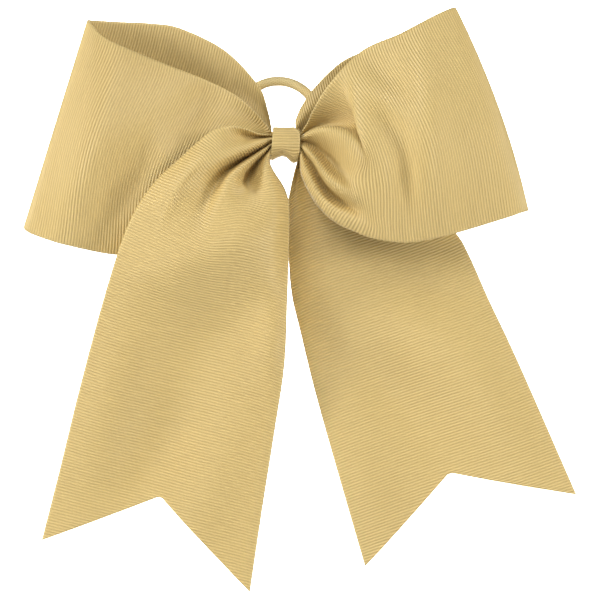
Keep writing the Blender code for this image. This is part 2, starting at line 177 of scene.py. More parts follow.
@dataclass
class Layer:
    """One stretch of the ribbon from the knot out: a loop's front or back, or a tail.

    creases are its ridges and valleys near the knot, each a line of points under its share of the way from
    edge a to edge b. folds are simpler pleats for a stretch that is mostly hidden, as (share, height towards
    the viewer). waves are soft swellings and hollows, as (x, z, lean, length, width, height). foremost and
    hindmost bound its depth, as (Y at the knot, distance from the knot where that starts to slope, slope).
    """

    side: int  # -1 for left, 1 for right
    ribbon_pass: str  # the pass through the knot that it comes from
    edge_a: list  # its upper or outer edge
    edge_b: list
    swell: float  # how far the middle stands forward of the edges
    swell_at: float  # where along the ribbon the swell is greatest
    swell_end: float  # where it is gone
    creases: dict = None
    folds: list = None
    fold_depth: float = 0.0
    waves: list = ()
    foremost: tuple = None
    hindmost: tuple = None

    def __post_init__(self):
        self.edges = [curve_through(self.edge_a), curve_through(self.edge_b)]
        self.lengths = [lengths[-1] for _, lengths in self.edges]

    def length_at(self, share):
        return self.lengths[0] + (self.lengths[1] - self.lengths[0]) * share

    def row_count(self):
        return int(round(self.length_at(0.5) / CELL)) + 1

    def edge_points(self, v):
        """Points of both edges at shares v of their lengths."""
        return [at_length(edge, v * length) for edge, length in zip(self.edges, self.lengths)]

    def smooth_rows(self, v, share):
        """Straight rows from edge to edge, swelled forwards in the middle."""
        a, b = self.edge_points(v)
        points = a[:, None] + (b - a)[:, None] * share[None, :, None]
        reach = (v * self.length_at(0.5))[:, None]
        rise = ramp(reach, 0, self.swell_at) * (1 - ramp(reach, self.swell_at, self.swell_end))
        points[..., 1] -= self.swell * rise * arch(share)
        return points

    def pleated(self, v):
        """Rows with regular pleats at the knot, which die away further out."""
        points = self.smooth_rows(v, SHARES)
        reach = (v * self.length_at(0.5))[:, None]
        height = self.fold_depth * ramp(reach, *PLEATS_RISE) * (1 - ramp(reach, *PLEATS_FADE))
        places, heights = np.array(self.folds, float).T
        profile = smooth_run(places, heights[None, :, None], SHARES)[0, :, 0]
        points[..., 1] -= height * profile
        points[0, :, 0] = self.side * EXIT_X
        points[0, :, 1] = PASS_Y[self.ribbon_pass] - GATHER_DEPTH * profile
        points[0, :, 2] = GATHER_HALF_HEIGHT[self.ribbon_pass] * (1 - 2 * SHARES)
        return points

    def creased(self, v):
        """Rows that pass through every ridge and valley near the knot, and are smooth further out."""
        edge_a, edge_b = self.edge_points(v)
        lines = [edge_a]
        for share, crease in self.creases.items():
            near = np.array(crease, float)
            reached = lengths_along(near) / self.length_at(share)
            beyond = np.linspace(max(reached[-1] + CREASE_FADE, CREASES_END), 1, PLACES_BEYOND)
            far = self.smooth_rows(beyond, np.array([share]))[:, 0]
            lines.append(smooth_run([*reached, *beyond], np.vstack([near, far])[None], v)[0])
        lines.append(edge_b)
        return smooth_run([0.0, *self.creases, 1.0], np.stack(lines, 1), SHARES)

    def grid(self, rows):
        """The stretch as rows of points from the knot out, each row from edge a to edge b."""
        v = np.linspace(0, 1, rows)
        points = self.creased(v) if self.creases else self.pleated(v)
        for wave in self.waves:
            points[..., 1] -= swelling(points, *wave)
        return points

    def keep_in_depth(self, points):
        """Moves points that are too far forward or back for the knot's depth."""
        reach = distance_from_knot(points)
        for bound, pick in ((self.foremost, np.maximum), (self.hindmost, np.minimum)):
            if bound:
                y, start, slope = bound
                points[..., 1] = pick(points[..., 1], y + slope * np.maximum(reach - start, 0))


class Envelope:
    """The foremost or hindmost Y of a grid over each square millimetre of X and Z."""

    LOW, SIZE = np.array([-110.0, -60.0]), (220, 120)
    FAR = 99.0

    def __init__(self, points, foremost):
        self.pick = np.minimum if foremost else np.maximum
        self.away = -1 if foremost else 1  # the way that it pushes points, along Y
        self.empty = -self.away * self.FAR
        dense = upsample(points, times=5)
        cell, inside = self.cells(dense)
        self.y = np.full(self.SIZE, self.empty)
        self.pick.at(self.y, tuple(cell[inside].T), dense[inside, 1])
        for axis in (0, 1):
            self.y = self.pick(self.y, self.pick(np.roll(self.y, 1, axis), np.roll(self.y, -1, axis)))

    def cells(self, points):
        """Each point's square, and whether that is on the map."""
        cell = np.round(points[..., [0, 2]] - self.LOW).astype(int)
        inside = ((cell >= 0) & (cell < self.SIZE)).all(-1)
        return np.clip(cell, 0, np.array(self.SIZE) - 1), inside

    def push_clear(self, points):
        """Moves points that come nearer than the clearance, which grows from nothing beside the knot."""
        cell, inside = self.cells(points)
        surface = np.where(inside, self.y[cell[..., 0], cell[..., 1]], self.empty)
        opened = ramp(distance_from_knot(points), *CLEARANCE_OPENS)
        bound = np.where(opened > 0, surface + self.away * CLEARANCE * opened, self.empty)
        points[..., 1] = self.pick(points[..., 1], bound)


def upsample(points, times):
    """The surface through a grid of points, as one list of points that many times as close together."""
    rows, columns = (np.linspace(0, count - 1, (count - 1) * times + 1) for count in points.shape[:2])
    i, j = np.meshgrid(rows, columns, indexing="ij")
    return sample(points, i, j).reshape(-1, 3)


def cubic_weights(t):
    """Catmull-Rom weights of the four points round t."""
    return np.stack(
        [
            -0.5 * t + t**2 - 0.5 * t**3,
            1 - 2.5 * t**2 + 1.5 * t**3,
            0.5 * t + 2 * t**2 - 1.5 * t**3,
            -0.5 * t**2 + 0.5 * t**3,
        ]
    )


def sample(points, i, j):
    """The smooth surface through a grid of points, at fractional rows i and columns j."""
    rows, columns = points.shape[:2]
    padded = np.pad(points, ((1, 2), (1, 2), (0, 0)), mode="reflect", reflect_type="odd")
    i, j = np.clip(i, 0, rows - 1), np.clip(j, 0, columns - 1)
    i0, j0 = np.minimum(i.astype(int), rows - 2), np.minimum(j.astype(int), columns - 2)
    wi, wj = cubic_weights(i - i0), cubic_weights(j - j0)
    out = np.zeros(i.shape + (points.shape[2],))
    for a in range(4):
        for b in range(4):
            out += (wi[a] * wj[b])[..., None] * padded[i0 + a, j0 + b]
    return out


# The ribbon's six stretches, with the points of their edges and creases as (X, Y, Z)

LEFT_TAIL = Layer(
    -1, "front",
    edge_a=[
        (-5, -4.8, 2.6), (-9.5, -7, 2.9), (-13.5, -8.6, 4.4), (-17.5, -9.6, 5.3), (-21.6, -10.2, 5),
        (-27, -10.6, 2.8), (-37, -11.5, -6), (-47, -12.5, -16), (-55, -13, -30), (-63.4, -9.5, -55),
        (-72.1, -4, -86.5), (-79, -2.4, -114), (-85.4, -2.4, -139),
    ],
    edge_b=[
        (-5, -4.2, -3.6), (-5.6, -5.2, -7.4), (-3.9, -6.4, -10.8), (-1.9, -7.2, -13.8), (-0.2, -7.6, -17),
        (1, -8, -22), (1, -8, -34), (0.4, -7.4, -55), (-0.6, -5, -78), (-3.9, -3, -100.5),
        (-8.4, -2.4, -129), (-12.6, -2.4, -157.2),
    ],
    creases={
        0.09: [(-5, -3.2, 1.9), (-9.5, -3.2, 1.9), (-13.5, -4, 1.9), (-16.6, -7, 2.2), (-21, -10.8, 0.4)],
        0.26: [
            (-5, -5.6, 0.8), (-10.3, -9.6, -1.3), (-15.5, -12.4, -3.8), (-21, -14.2, -6.4),
            (-26.4, -15.2, -9.6),
        ],
        0.35: [
            (-5, -3.4, 0), (-9.5, -3.8, -2.8), (-13.5, -4.4, -5.2), (-17.5, -5.4, -7.8),
            (-21.5, -7.4, -10.9), (-24.6, -11, -15.2),
        ],
        0.46: [
            (-5, -5.6, -0.8), (-8.9, -9.4, -3.8), (-12.9, -12.6, -6.8), (-16.7, -14.8, -9.8),
            (-19.8, -16.2, -13.2), (-21.6, -17.2, -17.4),
        ],
        0.63: [
            (-5, -3.4, -1.6), (-8, -3.5, -4.8), (-10.9, -3.6, -8.2), (-12.9, -4.2, -11.2),
            (-13.8, -7.4, -14.2), (-13.6, -13, -17.4),
        ],
        0.84: [
            (-5, -5.4, -2.8), (-6.5, -9, -6), (-6.6, -12, -9.6), (-5.9, -14, -13.6), (-4.8, -15.2, -18),
        ],
    },
    swell=10, swell_at=44, swell_end=96,
    waves=[
        (-24, -36, 22, 32, 10, 4.0), (-22, -64, 40, 26, 12, -4.0), (-44, -106, 60, 28, 12, -4.6),
        (-5, -68, 84, 14, 6, 3.0), (-62, -86, 72, 30, 11, 3.0), (-28, -122, 65, 20, 10, 2.4),
    ],
)  # fmt: skip
RIGHT_FRONT = Layer(
    1, "front",
    edge_a=[
        (5, -4.4, 3), (7.4, -5.4, 6.6), (10, -6.2, 12.2), (15.4, -7, 20.6), (26.6, -7.5, 31.9),
        (39.9, -7, 37.8), (51.5, -6.5, 44), (57.4, -4.2, 46.8), (59.2, -0.8, 47.3),
    ],
    edge_b=[
        (5, -4.2, -3.6), (5.2, -6.8, -10.6), (7, -8, -15.6), (9.4, -8.8, -20.1), (12.8, -9.4, -24.4),
        (17.4, -9.8, -28.2), (22.4, -10, -30.6), (31.2, -10, -33.8), (43.4, -10, -35), (57.4, -9, -32.2),
        (76.5, -7.5, -26.5), (82.6, -4.8, -24.4), (84.7, -0.8, -23.8),
    ],
    creases={
        0.38: [(5, -3.2, 2.2), (9, -3.3, 4.3), (13.8, -3.8, 5.6), (18.8, -5, 5.6), (25, -8, 5)],
        0.57: [
            (5, -5.6, 1.4), (9.8, -9.8, 3), (14.6, -13.4, 3), (18.8, -16, 1.4), (22.2, -17.4, -1.6),
            (25.2, -18, -5.6),
        ],
        0.68: [
            (5, -3.4, 0.4), (8.6, -3.3, -0.4), (11.6, -3.6, -2.6), (14.4, -4.6, -5.6), (17.6, -8, -8.8),
        ],
        0.77: [
            (5, -5.6, -0.8), (7.8, -9.6, -3), (10.4, -12.4, -6.2), (12.4, -14, -9.8), (14.8, -15, -13.2),
            (18.4, -15.6, -16),
        ],
        0.87: [
            (5, -3.4, -1.8), (7.2, -4, -5.2), (9.7, -4.6, -8.8), (11.8, -5, -12.8), (14.2, -5.6, -16.6),
            (17.4, -7, -19.8), (22, -9.8, -22.4),
        ],
        0.95: [
            (5, -5.4, -2.8), (6.2, -8.6, -8), (8.2, -11, -12.4), (10.6, -12.4, -16.9), (13, -13, -20.5),
            (16.8, -13, -24), (22.6, -12.8, -27.2),
        ],
    },
    swell=10, swell_at=50, swell_end=112,
    waves=[
        (50, 5, 98, 36, 6.5, 3.4), (35, 6, 125, 10, 5, -3.8), (41.5, -13, 95, 12, 4, -3.2),
        (33, 24, 130, 12, 6, -3.0),
    ],
)  # fmt: skip
RIGHT_BACK = Layer(
    1, "middle",
    edge_a=[
        (5, 0, 4.4), (3.3, 0.1, 6.3), (3.6, 0.3, 8.4), (5.5, 0.7, 13), (10.4, 1.5, 20), (18.9, 2.5, 28.2),
        (27.7, 3.2, 32.6), (40, 3.8, 37.6), (53, 3.8, 44.4), (59.2, 0.8, 47.3),
    ],
    edge_b=[
        (5, 0, -4.4), (8, 1, -14), (16, 1.8, -25), (30, 2.6, -32), (45, 3, -33), (60, 3, -30.4),
        (77, 3.8, -26), (84.7, 0.8, -23.8),
    ],
    folds=[(0, -0.3), (0.12, 0.8), (0.3, -0.8), (0.5, 0.8), (0.7, -0.8), (0.88, 0.8), (1, -0.3)],
    fold_depth=1.4, swell=-2, swell_at=45, swell_end=110,
    hindmost=(1.9, 5, 0.09),
)  # fmt: skip
LEFT_FRONT = Layer(
    -1, "middle",
    edge_a=[
        (-5, 0, 4.2), (-10.9, -0.8, 10.9), (-17.9, -2, 16.8), (-28.4, -3.5, 22.1), (-44.1, -5.5, 28),
        (-61.6, -7.5, 35.4), (-67.2, -5, 40.5), (-69.3, -0.8, 43.1),
    ],
    edge_b=[
        (-5, 0, -4.4), (-11, -0.4, -13), (-22, -1.2, -26), (-38, -2.5, -36), (-56, -5, -39.4),
        (-75.6, -8, -36.1), (-88.6, -5, -32), (-91.7, -0.8, -29.8),
    ],
    folds=[(0, 0.1), (0.16, -0.9), (0.36, 0.9), (0.56, -0.9), (0.76, 0.9), (0.9, -0.8), (1, 0.3)],
    fold_depth=1.8, swell=8, swell_at=62, swell_end=112,
    waves=[
        (-68, -4, 73, 44, 7, 2.6), (-34, 10, 52, 14, 7, -4.4), (-55, -13, 60, 18, 6.5, -5.4),
        (-45, -1, 60, 14, 5, 1.6),
    ],
    foremost=(-2.2, 5, -0.3),
)  # fmt: skip
LEFT_BACK = Layer(
    -1, "back",
    edge_a=[
        (-5, 4, 4.4), (-6.6, 3.4, 12), (-9.8, 3, 20.3), (-21.4, 4, 32.6), (-37.1, 6, 40.6),
        (-47.6, 6.5, 42.4), (-60, 6.4, 43), (-67.4, 4.2, 43.3), (-69.3, 0.8, 43.1),
    ],
    edge_b=[
        (-5, 4, -4.4), (-12, 3.4, -13.5), (-22, 4.2, -24), (-38, 6.5, -34), (-58, 8, -38),
        (-78, 6, -34.6), (-88.8, 4.4, -31), (-91.7, 0.8, -29.8),
    ],
    folds=[(0, 0.3), (0.12, -0.7), (0.3, 0.8), (0.5, -0.9), (0.7, 0.8), (0.88, -0.9), (1, 0.3)],
    fold_depth=1.6, swell=-4, swell_at=56, swell_end=110,
    hindmost=(5.6, 20, 0.35),
)  # fmt: skip
RIGHT_TAIL = Layer(
    1, "back",
    edge_a=[
        (5, 4, 3.4), (14, 4.8, 2.6), (26, 6, -2), (38, 7, -10), (50, 7.5, -21), (59.9, 7.5, -31.5),
        (64.4, 7, -39.2), (71.4, 5.6, -55), (81.9, 3.4, -77.7), (101.9, 2, -123.3),
    ],
    edge_b=[
        (5, 4, -3.6), (4.2, 4.1, -6.4), (3.1, 4.3, -9.6), (1.7, 4.8, -15.6), (0.7, 5.4, -22),
        (0.7, 6, -34), (1.8, 6, -51.5), (4.9, 5, -65.5), (11.9, 3.4, -93.5), (27.7, 2.4, -148.5),
    ],
    folds=[(0, 0.3), (0.12, -0.7), (0.3, 0.8), (0.5, -0.9), (0.7, 0.8), (0.88, -0.7), (1, 0.3)],
    fold_depth=1.8, swell=5, swell_at=80, swell_end=130,
    waves=[
        (36, -84, -47, 30, 12, -5.0), (70, -92, -65, 30, 12, 3.2), (26, -122, -70, 20, 10, 2.6),
        (20, -66, -60, 16, 8, 2.4), (48, -52, -15, 20, 8, -3.0),
    ],
    hindmost=(6.2, 20, 0.35),
)  # fmt: skip


def keep_apart(front, back, between):
    """Keeps a loop's front layer ahead of a surface between the layers, and its back layer behind it."""
    for points, gap, pick in ((front, -LAYER_GAP, np.minimum), (back, LAYER_GAP, np.maximum)):
        reach = distance_from_knot(points)
        surface = between * (1 - ramp(reach, 0, BETWEEN_LEVEL))
        points[..., 1] = pick(points[..., 1], surface + gap * ramp(reach, *GAP_OPENS))


def along_from(points, origin):
    """Each point's distance along the ribbon from that row, evened out between neighbouring columns."""
    steps = np.linalg.norm(np.diff(points, axis=0), axis=2)
    lengths = np.vstack([np.zeros(points.shape[1]), np.cumsum(steps, 0)])
    lengths -= lengths[origin]
    for _ in range(EVENING):
        sides = np.pad(lengths, ((0, 0), (1, 1)), mode="edge")
        lengths = (sides[:, :-2] + 2 * lengths + sides[:, 2:]) / 4
    return lengths


def loop_grid(front, back, between, bow):
    """A loop's grid, out along its front layer, round its outer fold and home along its back layer."""
    rows = front.row_count()
    fold = rows - 1
    points = np.vstack([front.grid(rows), back.grid(rows)[::-1][1:]])
    from_fold = np.abs(np.arange(len(points)) - fold) * CELL
    points[..., 0] += front.side * bow * (1 - ramp(from_fold, 0, FOLD_BULGES))[:, None] * arch(SHARES)
    points[fold, :, 1] = 0
    front_points, back_points = points[1:fold], points[fold + 1 : -1]
    keep_apart(front_points, back_points, between)
    front.keep_in_depth(front_points)
    back.keep_in_depth(back_points)
    return points, along_from(points, fold)


def tail_grid(layer, loop_envelope):
    """A tail's grid, clear of the loop that it lies against."""
    points = layer.grid(layer.row_count())
    loop_envelope.push_clear(points[1:])
    layer.keep_in_depth(points[1:])
    return points, along_from(points, len(points) - 1)


# Weaving the ribbon: from a coarse grid to a thick ribbed mesh


def tucked(points, layer):
    """The grid with more rows before its first, which carry the ribbon on inside the wrap."""
    edge = points[0]
    middle = np.array([0, PASS_Y[layer.ribbon_pass], 0])
    rows = []
    for inward, squeeze in TUCKED_ROWS:
        row = middle + (edge - middle) * [1, squeeze, squeeze]
        row[:, 0] = layer.side * (EXIT_X - inward)
        row[:, 2] = pinched(row[:, 0], row[:, 2])
        rows.append(row)
    return np.vstack([np.array(rows), points])


def rib_rows(low, high):
    """The mesh's rows between a low and a high end that vary from column to column.

    Gives each point's place along the ribbon and the number of its row. Points past an end repeat the end's.
    """
    step = RIB_PITCH / ROWS_PER_RIB
    first, last = math.floor(low.min() / step), math.ceil(high.max() / step)
    s = np.arange(first, last + 1)[:, None] * step + np.zeros(FINE_COLUMNS)
    inside = (s > low + END_ROOM * step) & (s < high - END_ROOM * step)
    top, bottom = inside.argmax(0) - 1, len(s) - inside[::-1].argmax(0)
    column = np.arange(FINE_COLUMNS)
    s[top, column], s[bottom, column] = low, high
    row = np.clip(np.arange(len(s))[:, None], top, bottom)
    return s[row, column], row


def surface_at(points, along, s, share):
    """The surface's points and normals at places s along the ribbon and shares across it."""
    rows, columns = np.arange(len(points)), np.arange(COLUMNS)
    j = share * (COLUMNS - 1)
    places = np.stack([np.interp(j, columns, line) for line in along])
    i = np.stack([np.interp(s[:, k], places[:, k], rows) for k in range(FINE_COLUMNS)], 1)
    j = np.broadcast_to(j, i.shape)
    run = sample(points, i + NUDGE, j) - sample(points, i - NUDGE, j)
    over = sample(points, i, j + NUDGE) - sample(points, i, j - NUDGE)
    return sample(points, i, j), unit(np.cross(run, over))


def woven(name, points, along, notch=0.0):
    """A thick ribbed mesh through a grid of points, whose far end is cut to a notch of that depth.

    along holds each grid point's place along the ribbon. The mesh's rows lie along the ribs.
    """
    spread = np.linspace(-1, 1, FINE_COLUMNS)
    share = 0.5 + 0.5 * np.sign(spread) * (1 - (1 - np.abs(spread)) ** CROWDING)
    low = np.interp(share, SHARES, along[0])
    high = np.interp(share, SHARES, along[-1]) - notch * (1 - np.abs(2 * share - 1))
    s, row = rib_rows(low, high)
    centre, normal = surface_at(points, along, s, share)

    across = (share - 0.5) * WIDTH + np.zeros_like(s)
    from_edge = np.minimum(share, 1 - share) * WIDTH * np.ones_like(s)
    body = ramp(from_edge, 0, SELVEDGE)
    ribs = RIB_HEIGHT * (SELVEDGE_RIBS + (1 - SELVEDGE_RIBS) * body) * np.cos(2 * math.pi * s / RIB_PITCH)
    half = (THICKNESS / 2 + ribs)[..., None]
    corners = quads(row * FINE_COLUMNS + np.arange(FINE_COLUMNS))
    flat = np.stack([s, across, from_edge], -1)
    return add_shell(name, centre + half * normal, centre - half * normal, corners, flat, RIBBON)


def quads(index):
    """Four-cornered faces between neighbours in a grid of point numbers."""
    return np.stack([index[:-1, :-1], index[1:, :-1], index[1:, 1:], index[:-1, 1:]], -1).reshape(-1, 4)


def two_faced(corners, count):
    """Faces for the front, the back and the wall round them, from the front's four-cornered faces."""
    distinct = [list(dict.fromkeys(face)) for face in corners.tolist()]
    front = [face for face in distinct if len(face) > 2]
    edges = {(a, b) for face in front for a, b in zip(face, face[1:] + face[:1])}
    wall = [(b, a, a + count, b + count) for a, b in edges if (b, a) not in edges]
    return front + [[k + count for k in reversed(face)] for face in front] + sorted(wall)


def add_shell(name, front, back, corners, flat, material):
    """One object from two matching grids of points and the faces between the first one's."""
    points = np.concatenate([front.reshape(-1, 3), back.reshape(-1, 3)])
    flat = flat.reshape(-1, 3)
    return add_mesh(name, points, two_faced(corners, len(flat)), np.concatenate([flat, flat]), material)


def add_object(name, data):
    made = bpy.data.objects.new(name, data)
    bpy.context.scene.collection.objects.link(made)
    return made


def add_mesh(name, points, faces, flat, material):
    """One object from points in millimetres from the knot. Points that no face uses are left out."""
    used = np.unique(np.concatenate([np.asarray(face) for face in faces]))
    renumbered = np.zeros(len(points), int)
    renumbered[used] = np.arange(len(used))
    mesh = bpy.data.meshes.new(name)
    places = points[used] * MM + KNOT
    mesh.from_pydata(places.tolist(), [], [renumbered[list(face)].tolist() for face in faces])
    mesh.shade_smooth()
    mesh.materials.append(material)
    mesh.attributes.new("flat", "FLOAT_VECTOR", "POINT").data.foreach_set("vector", flat[used].ravel())
    return add_object(name, mesh)


# The knot's wrap, the binding thread and the hair elastic

WRAP_WIDTH = 9.5
WRAP_FRONT, WRAP_BACK = -7.2, 11.6  # its inner face
WRAP_HALF_HEIGHT = 5.25
WRAP_CORNER, WRAP_BACK_CORNER = 5.0, 2.6  # radii
WRAP_LIFT = 0.2  # of its middle surface over its inner face
HALF_LAP = 2.3  # half the length over which its two ends lap
LAP_RISE = 1.2  # of the outer end over the inner one, with the glue between
WRAP_RIB = 1.02  # from rib to rib
WRAP_COLUMNS = 33
WRAP_SELVEDGE = 0.9
WRAP_SELVEDGE_RIBS = 0.3
WRAP_CURL = 0.22  # how far its side edges bend inwards
# Its side edges at the front, as (Z, X), and its lower edge, as (X, Z)
WRAP_LEFT_EDGE = ((-5.7, -5.4), (-3, -5.1), (0, -4.8), (5.4, -4.5))
WRAP_RIGHT_EDGE = ((-6, 4.0), (-3, 4.9), (2.8, 5.0), (4.2, 4.5), (5.5, 3.0))
WRAP_LOWER_EDGE = (
    (-4.8, -5.7), (-3.2, -4.9), (-1.5, -4.4), (0, -4.7),
    (1.3, -5.9), (2.4, -6.7), (3.4, -6.5), (4.8, -5.7),
)  # fmt: skip
WRAP_SHAPED = (9, 4)  # those side edges take hold from the first Y to the second
TOP_PINCH = 0.06
PINCH_FULL = 5.0  # height above or below the knot's middle where the pinch is whole

THREAD_RADIUS, THREAD_PITCH, THREAD_TURNS = 0.25, 0.85, 6
THREAD_OVAL = (6.7, 4.75)  # from its middle, in Y and Z
THREAD_TWIST = 9  # twists of its two plies for each turn
PLY_DEPTH = 0.1  # of the groove between them, as a share of the radius

STRAND_Y = 9.3  # where the elastic lies behind the knot's middle
RING_RADIUS, RING_CORNER = 14.4, 4.0  # the second where it turns in to the wrap
RING_CENTRE_X, RING_CENTRE_Z = -2.8, 7.8
CORD_RADIUS, CRIMPED_RADIUS, BORE_RADIUS = 1.7, 1.4, 0.75
CORD_END = 0.2  # from the ferrule's middle
FERRULE_HALF = 3.6
CRIMP_LENGTH = 1.5  # over which the cord swells out beside the ferrule
BRAID_STRANDS = 12
BRAID_PITCH = 1.5
BRAID_RELIEF, BRAID_SINK = 0.05, 0.06
BRAID_CROSSING = 0.8  # how strongly one family of strands rises over the other


def arc(centre_a, centre_b, radius, first, last, steps):
    angles = np.linspace(first, last, steps)
    return np.stack([centre_a + radius * np.cos(angles), centre_b + radius * np.sin(angles)], -1)


def evenly(path, step):
    """The same open path with its points that far apart, and their lengths along it."""
    lengths = lengths_along(path)
    places = np.linspace(0, lengths[-1], int(round(lengths[-1] / step)) + 1)
    return np.stack([np.interp(places, lengths, path[:, k]) for k in (0, 1)], -1), places


def wrap_path():
    """The wrap's middle surface in Y and Z: from its start at the back down, forwards, up and back."""
    inner = WRAP_HALF_HEIGHT
    radius, back_radius = WRAP_CORNER, WRAP_BACK_CORNER
    y_front, y_back = WRAP_FRONT + radius, WRAP_BACK - back_radius
    quarter = math.pi / 2
    lift = WRAP_LIFT
    parts = [
        np.array([[WRAP_BACK + lift, HALF_LAP]]),
        arc(y_back, -inner + back_radius, back_radius + lift, 0, -quarter, 12),
        arc(y_front, -inner + radius, radius + lift, -quarter, -2 * quarter, 20),
        arc(y_front, inner - radius, radius + lift, -2 * quarter, -3 * quarter, 20),
        arc(y_back + LAP_RISE, inner - back_radius, back_radius + lift, -3 * quarter, -4 * quarter, 12),
        np.array([[WRAP_BACK + LAP_RISE + lift, -HALF_LAP]]),
    ]
    return evenly(np.vstack(parts), WRAP_RIB / ROWS_PER_RIB)


def pinched(x, z):
    """z with the upper half pressed down a little and the lower half squeezed to the knot's lower edge."""
    places, edge = np.array(WRAP_LOWER_EDGE).T
    squeeze = np.interp(x, places, edge) / edge[0] - 1
    return z * (1 + squeeze * ramp(z, 0, -PINCH_FULL) - TOP_PINCH * ramp(z, 0, PINCH_FULL))


def make_wrap(material):
    path, s = wrap_path()
    spread = np.linspace(-1, 1, WRAP_COLUMNS)
    x = spread * WRAP_WIDTH / 2
    run = np.gradient(path, axis=0)
    out = unit(np.stack([run[:, 1], -run[:, 0]], -1))
    from_edge = (1 - np.abs(spread)) * WRAP_WIDTH / 2
    body = ramp(from_edge, 0, WRAP_SELVEDGE)
    height = RIB_HEIGHT * (WRAP_SELVEDGE_RIBS + (1 - WRAP_SELVEDGE_RIBS) * body)
    ribs = height * np.cos(2 * math.pi * s / WRAP_RIB)[:, None]
    curl = -WRAP_CURL * np.abs(spread) ** 6
    sides = []
    for half in (THICKNESS / 2 + ribs, -THICKNESS / 2 - ribs):
        y = path[:, :1] + out[:, :1] * (half + curl)
        z = path[:, 1:] + out[:, 1:] * (half + curl)
        left, right = (np.interp(z, *zip(*edge)) for edge in (WRAP_LEFT_EDGE, WRAP_RIGHT_EDGE))
        shown = left + (right - left) * (spread + 1) / 2
        placed = x + (shown - x) * ramp(y, *WRAP_SHAPED)
        sides.append(np.stack([placed, y, pinched(placed, z)], -1))
    corners = quads(np.arange(len(s) * WRAP_COLUMNS).reshape(len(s), WRAP_COLUMNS))
    flat = np.stack(np.broadcast_arrays(s[:, None] / WRAP_RIB, x, from_edge), -1)
    return add_shell("center_wrap_ribbon", *sides, corners, flat, material)


def make_thread(material):
    """Turns of twisted thread that cinch the gather under the wrap."""
    steps, sides = 72, 12
    angle = 2 * math.pi * np.arange(THREAD_TURNS * steps + 1)[:, None] / steps
    turn = 2 * math.pi * np.arange(sides) / sides
    ply = THREAD_RADIUS * (1 - PLY_DEPTH + PLY_DEPTH * np.cos(2 * turn + THREAD_TWIST * angle))
    half_y, half_z = THREAD_OVAL
    x = THREAD_PITCH * (angle / (2 * math.pi) - THREAD_TURNS / 2) + ply * np.sin(turn)
    y = (half_y + ply * np.cos(turn)) * np.cos(angle)
    z = (half_z + ply * np.cos(turn)) * np.sin(angle)
    points = np.stack([x, y, pinched(x, z)], -1).reshape(-1, 3)
    ends = [list(range(sides))[::-1], list(range(len(points) - sides, len(points)))]
    flat = np.stack(np.broadcast_arrays(angle, turn, 0.0), -1).reshape(-1, 3)
    faces = tube_faces(len(angle), sides).tolist() + ends
    return add_mesh("binding_thread", points, faces, flat, material)


def tube_faces(rings, sides):
    index = np.arange(rings * sides).reshape(rings, sides)
    return quads(np.hstack([index, index[:, :1]]))


def ring_path():
    """The elastic's centre line in X and Z, from the ferrule's middle round to it again."""
    reach = math.sqrt((RING_RADIUS - RING_CORNER) ** 2 - (RING_CENTRE_Z - RING_CORNER) ** 2)
    lean = math.atan2(RING_CENTRE_Z - RING_CORNER, reach)
    quarter = math.pi / 2
    parts = [
        np.array([[CORD_END, 0.0]]),
        arc(RING_CENTRE_X + reach, RING_CORNER, RING_CORNER, -quarter, -lean, 14)[:-1],
        arc(RING_CENTRE_X, RING_CENTRE_Z, RING_RADIUS, -lean, math.pi + lean, 90),
        arc(RING_CENTRE_X - reach, RING_CORNER, RING_CORNER, math.pi + lean, math.pi + quarter, 14)[1:],
        np.array([[-CORD_END, 0.0]]),
    ]
    return evenly(np.vstack(parts), step=0.25)


def braid_height(turn, s):
    """Two families of strands, each over one and under the next."""
    one = BRAID_STRANDS * turn + s / BRAID_PITCH
    other = BRAID_STRANDS * turn - s / BRAID_PITCH
    over = BRAID_CROSSING * np.cos(math.pi * BRAID_STRANDS * turn) * np.cos(math.pi * s / BRAID_PITCH)
    return np.maximum(np.cos(2 * math.pi * one) + over, np.cos(2 * math.pi * other) - over)


def make_sleeve(material):
    path, s = ring_path()
    sides = 96
    turn = np.arange(sides) / sides
    run = unit(np.gradient(path, axis=0))
    out = np.stack([run[:, 1], -run[:, 0]], -1)
    from_end = np.minimum(s, s[-1] - s)
    swollen = ramp(from_end, FERRULE_HALF, FERRULE_HALF + CRIMP_LENGTH)[:, None]
    outer = CRIMPED_RADIUS - BRAID_SINK + (CORD_RADIUS - CRIMPED_RADIUS) * swollen
    outer = outer + BRAID_RELIEF * swollen * braid_height(turn[None], s[:, None])
    walls = []
    for radius in (outer, BORE_RADIUS + np.zeros_like(outer)):
        outward = radius * np.cos(2 * math.pi * turn)
        x = path[:, :1] + out[:, :1] * outward
        z = path[:, 1:] + out[:, 1:] * outward
        y = STRAND_Y + radius * np.sin(2 * math.pi * turn)
        walls.append(np.stack([x, y, z], -1))
    flat = np.stack(np.broadcast_arrays(s[:, None], BRAID_STRANDS * turn[None], 0.0), -1)
    return add_shell("elastic_braid", *walls, tube_faces(len(s), sides), flat, material)


# Materials

GOLD = (0.645, 0.470, 0.175)
# painted shade for the grooves between the ribs and between braid strands, and also the darker tone of slubs
GOLD_GROOVE_SHADE_AND_SLUB = (0.420, 0.290, 0.095)
GOLD_PALE = (0.760, 0.600, 0.265)
THREAD_PALE = (0.880, 0.720, 0.360)  # the elastic's and the binding thread's palest fibres


